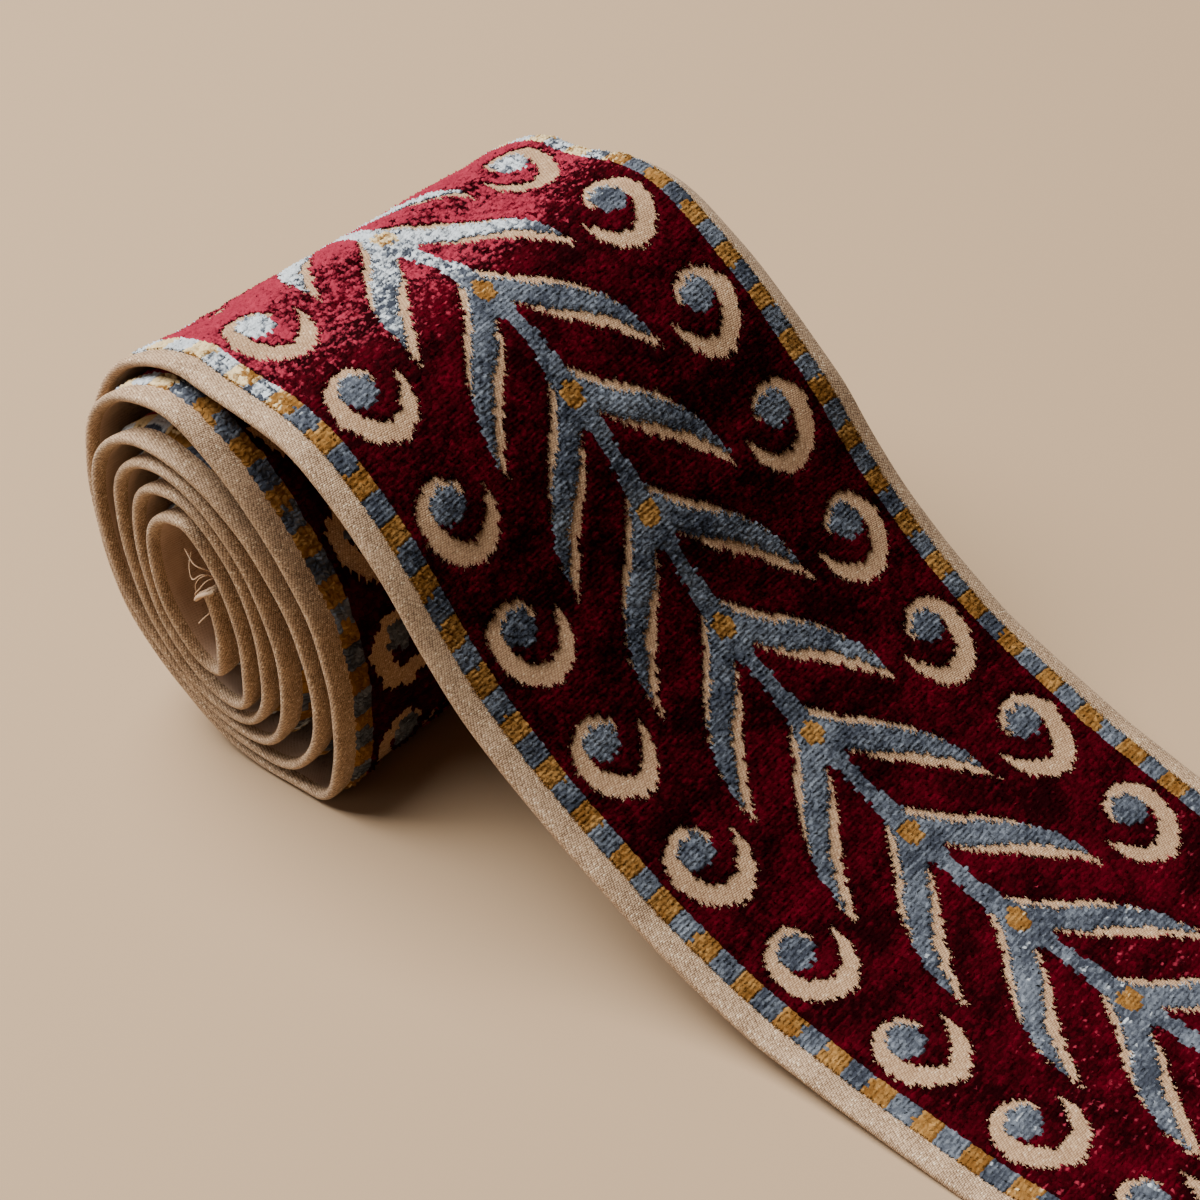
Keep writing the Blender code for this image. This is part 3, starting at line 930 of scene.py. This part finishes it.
# Loose ends in the core, in the tables' coordinates: spots along each, and how wide and thick it is.
LOOSE_THREADS = (
    (((2.3, 0.6, 35.6), (2.1, -2.2, 38.3), (0.9, -3.0, 39.2), (-1.2, -2.4, 40.4)), 0.17, 0.17),
    (((2.4, 0.2, 35.4), (1.9, -2.6, 37.6), (0.4, -3.1, 36.4), (-0.5, -2.6, 37.8), (-0.9, -1.6, 39.4)), 0.17, 0.17),
    (((2.2, 0.9, 35.2), (2.6, -2.4, 36.9), (1.5, -3.2, 35.3), (0.2, -2.8, 33.6), (-0.3, -2.2, 32.0)), 0.16, 0.16),
    (((1.9, 0.4, 34.6), (0.8, -2.4, 33.5), (0.4, -2.8, 34.9), (1.1, -2.6, 36.5), (2.0, -2.0, 37.2)), 0.13, 0.13),
    (((2.2, -1.0, 31.2), (1.5, -3.0, 30.2), (0.9, -3.4, 29.3)), 0.18, 0.18),
    (((2.7, -1.9, 34.9), (2.2, -2.6, 34.7), (1.4, -2.8, 34.1), (0.7, -2.6, 33.2)), 1.9, 0.8),
)
THREAD_STEPS, THREAD_SIDES = 8, 8


class TRIM_OT_threads(bpy.types.Operator):
    """Leaves loose threads and a folded corner at the inner cut end, in the core of the roll"""

    bl_idname = "trim.threads"
    bl_label = "Loose threads"

    def execute(self, context):
        colours = context.scene.trim_colours
        points, faces, caps, spots = [], [], [], []
        turn = np.linspace(0, 2 * math.pi, THREAD_SIDES, endpoint=False)
        for path, wide, thick in LOOSE_THREADS:
            line = np.stack([smooth(np.array(column), THREAD_STEPS) for column in zip(*path)], axis=1)
            onward = np.gradient(line, axis=0)
            onward /= np.linalg.norm(onward, axis=1)[:, None]
            upright = np.cross(onward, [0.0, 1.0, 0.0])
            upright /= np.linalg.norm(upright, axis=1)[:, None]
            sideways = np.cross(upright, onward)
            ring = sideways[:, None] * np.cos(turn)[None, :, None] * wide / 2
            ring = ring + upright[:, None] * np.sin(turn)[None, :, None] * thick / 2
            first = sum(len(done) for done in points)
            grid = grid_faces(len(line), THREAD_SIDES + 1).reshape(-1, 4)
            row, column = grid // (THREAD_SIDES + 1), grid % (THREAD_SIDES + 1)
            faces.append((first + row * THREAD_SIDES + column % THREAD_SIDES)[:, ::-1])
            ends = np.arange(THREAD_SIDES)
            caps += [first + ends, first + (len(line) - 1) * THREAD_SIDES + ends[::-1]]
            points.append((line[:, None] + ring).reshape(-1, 3))
            spots.append(np.stack([column * wide / 3, row * 0.4], axis=-1).reshape(-1, 2))
        cap_spots = np.zeros((sum(len(cap) for cap in caps), 2))
        points = (np.concatenate(points) - FOOTPRINT_CENTRE) * MM
        faces = np.concatenate(faces)
        light = [0.75 * part + 0.05 for part in colours.selvedge_light]
        # The last number is the threads' share of painted glints.
        material = cloth_material("cotton_threads", light, colours.ground_light, 0.4, 0.25, 0.4, 0.03, 0.2)
        index = np.zeros(len(faces) + len(caps))
        threads = add_mesh("loose_threads", points, faces, np.concatenate([*spots, cap_spots]), [material], index, caps)
        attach(threads, BODY)
        return {"FINISHED"}


# The camera in the tables' coordinates, in millimetres, with its own axes.
CAMERA_SPOT = np.array([253.5, -219.2, 319.2])
CAMERA_RIGHT = np.array([0.7615, 0.6481, 0.0])
CAMERA_UP = np.array([-0.4275, 0.5023, 0.7516])
CAMERA_ROLL = math.radians(-1.647)
CAMERA_LENS = 100.4
SENSOR = 36.0


class StageSettings(bpy.types.PropertyGroup):
    """The studio."""

    floor_size: FloatProperty(name="Floor", description="Side of the floor", default=6.0, unit="LENGTH")
    floor_colour: colour_property("Floor colour", "Plain pale floor", (0.368, 0.248, 0.143))
    key_power: FloatProperty(name="Key", description="Power of the key light", default=47.0, unit="POWER")
    fill_power: FloatProperty(name="Fill", description="Power of the fill light", default=1.5, unit="POWER")
    sky: FloatProperty(name="Sky", description="Strength of the light from all round", default=0.042)


def add_area_light(name, power, size, place, target):
    """A square soft box that looks from one place to another."""
    light = bpy.data.lights.new(name, "AREA")
    light.energy = power
    light.size = size
    made = bpy.data.objects.new(name, light)
    made.location = place
    made.rotation_euler = (Vector(target) - Vector(place)).to_track_quat("-Z", "Y").to_euler()
    bpy.context.scene.collection.objects.link(made)


class TRIM_OT_stage(bpy.types.Operator):
    """Sets the floor, the lights and the camera"""

    bl_idname = "trim.stage"
    bl_label = "Stage"

    def execute(self, context):
        stage = context.scene.trim_stage
        half = stage.floor_size / 2
        corners = [(-half, -half, 0), (half, -half, 0), (half, half, 0), (-half, half, 0)]
        mesh = bpy.data.meshes.new("floor")
        mesh.from_pydata(corners, [], [(0, 1, 2, 3)])
        floor = bpy.data.objects.new("floor", mesh)
        floor.location.z = -0.05 * MM
        material = bpy.data.materials.new("floor")
        material.use_nodes = True
        shader = material.node_tree.nodes["Principled BSDF"]
        shader.inputs["Base Color"].default_value = opaque(stage.floor_colour)
        shader.inputs["Roughness"].default_value = 0.9
        mesh.materials.append(material)
        context.scene.collection.objects.link(floor)

        world = bpy.data.worlds.new("studio")
        world.use_nodes = True
        world.node_tree.nodes["Background"].inputs["Color"].default_value = (1.0, 0.97, 0.93, 1.0)
        world.node_tree.nodes["Background"].inputs["Strength"].default_value = stage.sky
        context.scene.world = world

        target = (-0.02, 0.0, 0.03)
        add_area_light("key", stage.key_power, 0.85, (-0.56, -0.17, 1.04), target)
        add_area_light("fill", stage.fill_power, 0.4, (-0.45, -0.85, 0.22), target)

        turned = math.cos(CAMERA_ROLL) * CAMERA_RIGHT + math.sin(CAMERA_ROLL) * CAMERA_UP
        up = math.cos(CAMERA_ROLL) * CAMERA_UP - math.sin(CAMERA_ROLL) * CAMERA_RIGHT
        camera = bpy.data.objects.new("camera", bpy.data.cameras.new("camera"))
        camera.data.lens = CAMERA_LENS
        camera.data.sensor_width = SENSOR
        camera.data.clip_start = 0.01
        axes = Matrix(np.stack([turned, up, np.cross(turned, up)], axis=1).tolist())
        camera.matrix_world = Matrix.Translation(Vector((CAMERA_SPOT - FOOTPRINT_CENTRE) * MM)) @ axes.to_4x4()
        context.scene.collection.objects.link(camera)
        context.scene.camera = camera
        return {"FINISHED"}


class TRIM_PT_panel(bpy.types.Panel):
    """Lists the pieces and their settings"""

    bl_idname = "TRIM_PT_panel"
    bl_label = "Velvet Tape Trim"
    bl_space_type = "VIEW_3D"
    bl_region_type = "UI"
    bl_category = "Trim"

    def draw(self, context):
        scene = context.scene
        for operator, groups in PIECES:
            self.layout.operator(operator)
            for group in groups:
                draw_properties(self.layout, getattr(scene, group))


PIECES = (
    ("trim.ground", ("trim_sizes", "trim_colours")),
    ("trim.pile", ()),
    ("trim.threads", ()),
    ("trim.stage", ("trim_stage",)),
)
GROUPS = {"trim_sizes": TapeSizes, "trim_colours": TapeColours, "trim_stage": StageSettings}
CLASSES = (*GROUPS.values(), TRIM_OT_ground, TRIM_OT_pile, TRIM_OT_threads, TRIM_OT_stage, TRIM_PT_panel)


def register():
    for item in CLASSES:
        bpy.utils.register_class(item)
    for name, group in GROUPS.items():
        setattr(bpy.types.Scene, name, PointerProperty(type=group))


def unregister():
    for name in GROUPS:
        delattr(bpy.types.Scene, name)
    for item in reversed(CLASSES):
        bpy.utils.unregister_class(item)


def main():
    register()
    bpy.ops.trim.ground()
    bpy.ops.trim.pile()
    bpy.ops.trim.threads()
    bpy.ops.trim.stage()


if __name__ == "__main__":
    main()
